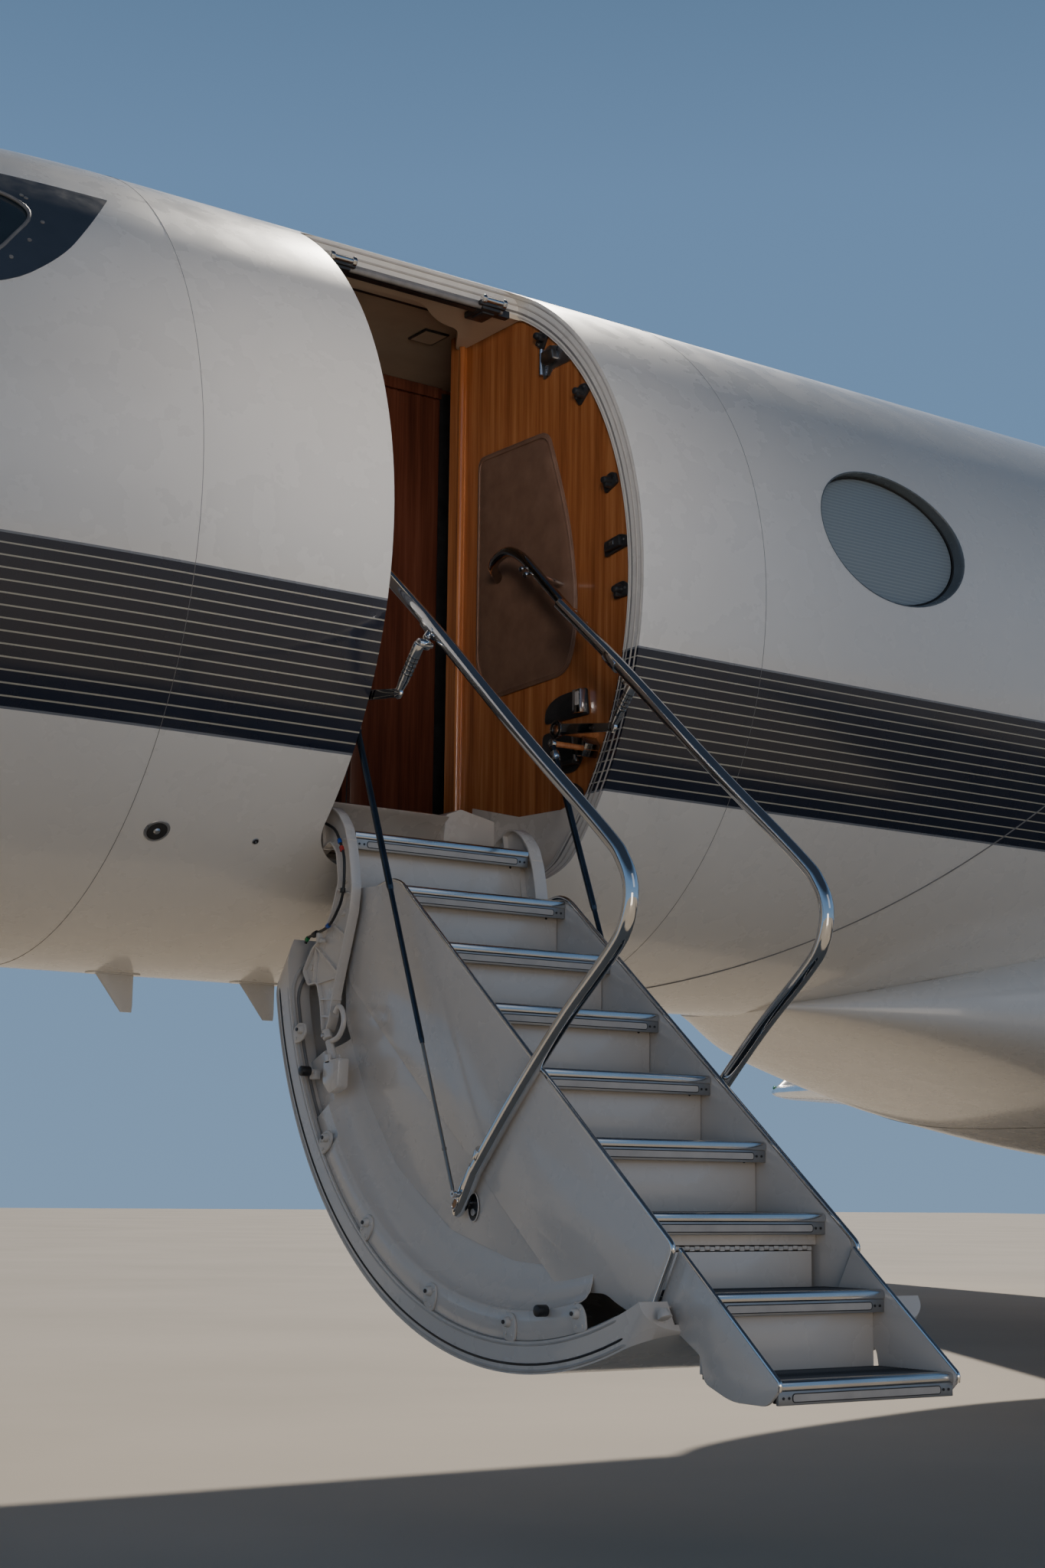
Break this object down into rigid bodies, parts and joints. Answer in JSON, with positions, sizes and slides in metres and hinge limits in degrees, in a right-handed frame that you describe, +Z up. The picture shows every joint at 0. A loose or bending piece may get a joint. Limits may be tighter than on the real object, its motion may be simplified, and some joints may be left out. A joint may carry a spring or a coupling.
{
  "type": "business jet",
  "caption": "Twin-engine business jet parked on its gear: hollow entry with a lowered folding airstair, steerable nose wheels and turning fans.",
  "frame": {"origin": "on the ground under the middle of the overall box", "axes": "+X from nose to tail, +Z up, the entry door on the -Y side"},
  "size_m": [27.2, 23.7438, 7.6641],
  "materials": {
    "white_paint": "gloss",
    "grey_paint": "satin",
    "cream_liner": "matte",
    "walnut": "satin varnish",
    "dark_walnut": "satin varnish",
    "carpet": "cut pile",
    "chrome": "polished",
    "steel": "satin",
    "black_tube": "gloss",
    "tread_mat": "ribbed",
    "cockpit_glass": "clear",
    "tyre": "matte"
  },
  "bodies": {
    "root": {"nose_section": "white_paint", "cockpit_glass": "cockpit_glass", "entry_section": "white_paint", "cabin_section": "white_paint", "tail_section": "white_paint", "belly_fairing": "white_paint", "cabin_floor": "carpet", "aft_partition": "walnut", "entry_ceiling": "cream_liner", "forward_bulkhead": "cream_liner", "galley_cabinet": "dark_walnut", "grab_rail": "chrome", "wing_left": "white_paint", "wing_right": "white_paint", "nacelle_left": "white_paint", "nacelle_right": "white_paint", "engine_left": "steel", "engine_right": "steel", "fin": "white_paint", "tailplane": "white_paint", "nose_gear_leg": "grey_paint", "nose_gear_door_left": "white_paint", "nose_gear_door_right": "white_paint", "main_gear_leg_left": "grey_paint", "main_gear_leg_right": "grey_paint", "main_gear_door_left": "white_paint", "main_gear_door_right": "white_paint", "belly_aerial_front": "white_paint", "belly_aerial_rear": "white_paint"},
    "airstair": {"door_shell": "white_paint", "hinge_arm_front": "white_paint", "hinge_arm_aft": "white_paint", "stair_stringers": "white_paint", "tread_2": "tread_mat", "tread_3": "tread_mat", "tread_4": "tread_mat", "tread_5": "tread_mat", "tread_6": "tread_mat", "tread_7": "tread_mat", "tread_8": "tread_mat"},
    "lower_steps": {"lower_stringers": "white_paint", "tread_9": "tread_mat", "tread_10": "tread_mat"},
    "threshold": {"threshold_plate": "tread_mat"},
    "nose_steering": {"nose_gear_fork": "grey_paint"},
    "nose_wheel_pair": {"nose_wheels": "tyre"},
    "handrail_front": {"handrail_front": "chrome"},
    "rail_arm_front": {"rail_arm_front": "chrome"},
    "strut_tube_front": {"strut_tube_front": "black_tube"},
    "strut_sleeve_front": {"strut_sleeve_front": "steel"},
    "strut_rod_front": {"strut_rod_front": "steel"},
    "handrail_aft": {"handrail_aft": "chrome"},
    "rail_arm_aft": {"rail_arm_aft": "chrome"},
    "strut_tube_aft": {"strut_tube_aft": "black_tube"},
    "strut_sleeve_aft": {"strut_sleeve_aft": "steel"},
    "strut_rod_aft": {"strut_rod_aft": "steel"},
    "main_wheel_pair_left": {"main_wheels_left": "tyre"},
    "fan_rotor_left": {"fan_left": "steel"},
    "main_wheel_pair_right": {"main_wheels_right": "tyre"},
    "fan_rotor_right": {"fan_right": "steel"}
  },
  "joints": [
    {"name": "door_hinge", "type": "hinge", "parent": "root", "child": "airstair", "pos_m": [-9, -0.62, 1.665], "axis": [-1, 0, 0], "range_deg": [0, 126]},
    {"name": "lower_steps_fold", "type": "hinge", "parent": "airstair", "child": "lower_steps", "pos_m": [-9, -2.149, 0.69], "axis": [-1, 0, 0], "range_deg": [0, 130]},
    {"name": "threshold_fold", "type": "hinge", "parent": "root", "child": "threshold", "pos_m": [-9, -0.3104, 1.97], "axis": [-1, 0, 0], "range_deg": [0, 90]},
    {"name": "handrail_front_fold", "type": "hinge", "parent": "airstair", "child": "handrail_front", "pos_m": [-9.3, -1.475, 0.782], "axis": [1, 0, 0], "range_deg": [0, 23]},
    {"name": "rail_arm_front_fold", "type": "hinge", "parent": "root", "child": "rail_arm_front", "pos_m": [-9.35, -0.947, 2.177], "axis": [-1, 0, 0], "range_deg": [0, 100]},
    {"name": "strut_front_tilt", "type": "hinge", "parent": "root", "child": "strut_tube_front", "pos_m": [-9.331, -0.958, 2.13], "axis": [-1, 0, 0], "range_deg": [0, 169.9]},
    {"name": "strut_front_sleeve_slide", "type": "slide", "parent": "strut_tube_front", "child": "strut_sleeve_front", "axis": [0, 0.3745, 0.9272], "range_m": [0, 0.333]},
    {"name": "strut_front_rod_slide", "type": "slide", "parent": "strut_sleeve_front", "child": "strut_rod_front", "axis": [0, 0.3745, 0.9272], "range_m": [0, 0.333]},
    {"name": "handrail_aft_fold", "type": "hinge", "parent": "airstair", "child": "handrail_aft", "pos_m": [-8.679, -1.475, 0.782], "axis": [1, 0, 0], "range_deg": [0, 23]},
    {"name": "rail_arm_aft_fold", "type": "hinge", "parent": "root", "child": "rail_arm_aft", "pos_m": [-8.617, -0.947, 2.177], "axis": [-1, 0, 0], "range_deg": [0, 100]},
    {"name": "strut_aft_tilt", "type": "hinge", "parent": "root", "child": "strut_tube_aft", "pos_m": [-8.642, -0.958, 2.13], "axis": [-1, 0, 0], "range_deg": [0, 169.9]},
    {"name": "strut_aft_sleeve_slide", "type": "slide", "parent": "strut_tube_aft", "child": "strut_sleeve_aft", "axis": [0, 0.3745, 0.9272], "range_m": [0, 0.333]},
    {"name": "strut_aft_rod_slide", "type": "slide", "parent": "strut_sleeve_aft", "child": "strut_rod_aft", "axis": [0, 0.3745, 0.9272], "range_m": [0, 0.333]},
    {"name": "nose_steering", "type": "hinge", "parent": "root", "child": "nose_steering", "pos_m": [-10.45, 0, 0.9], "axis": [0, 0, 1], "range_deg": [-80, 80]},
    {"name": "nose_wheel_spin", "type": "hinge", "parent": "nose_steering", "child": "nose_wheel_pair", "pos_m": [-10.45, 0, 0.27], "axis": [0, 1, 0], "continuous": true},
    {"name": "main_wheel_spin_left", "type": "hinge", "parent": "root", "child": "main_wheel_pair_left", "pos_m": [1.15, -2.085, 0.44], "axis": [0, 1, 0], "continuous": true},
    {"name": "fan_spin_left", "type": "hinge", "parent": "root", "child": "fan_rotor_left", "pos_m": [4.95, -2.26, 3.29], "axis": [1, 0, 0], "continuous": true},
    {"name": "main_wheel_spin_right", "type": "hinge", "parent": "root", "child": "main_wheel_pair_right", "pos_m": [1.15, 2.085, 0.44], "axis": [0, 1, 0], "continuous": true},
    {"name": "fan_spin_right", "type": "hinge", "parent": "root", "child": "fan_rotor_right", "pos_m": [4.95, 2.26, 3.29], "axis": [1, 0, 0], "continuous": true}
  ],
  "couplings": [
    {"joint": "lower_steps_fold", "follows": "door_hinge", "ratio": 1.0317},
    {"joint": "threshold_fold", "follows": "door_hinge", "ratio": 0.71428},
    {"joint": "handrail_front_fold", "follows": "door_hinge", "ratio": 0.18253},
    {"joint": "rail_arm_front_fold", "follows": "door_hinge", "ratio": 0.79365},
    {"joint": "strut_front_tilt", "follows": "door_hinge", "ratio": 1.3484},
    {"joint": "strut_front_sleeve_slide", "follows": "door_hinge", "m_per_rad": 0.15142},
    {"joint": "strut_front_rod_slide", "follows": "door_hinge", "m_per_rad": 0.15142},
    {"joint": "handrail_aft_fold", "follows": "door_hinge", "ratio": 0.18253},
    {"joint": "rail_arm_aft_fold", "follows": "door_hinge", "ratio": 0.79365},
    {"joint": "strut_aft_tilt", "follows": "door_hinge", "ratio": 1.3484},
    {"joint": "strut_aft_sleeve_slide", "follows": "door_hinge", "m_per_rad": 0.15142},
    {"joint": "strut_aft_rod_slide", "follows": "door_hinge", "m_per_rad": 0.15142}
  ]
}
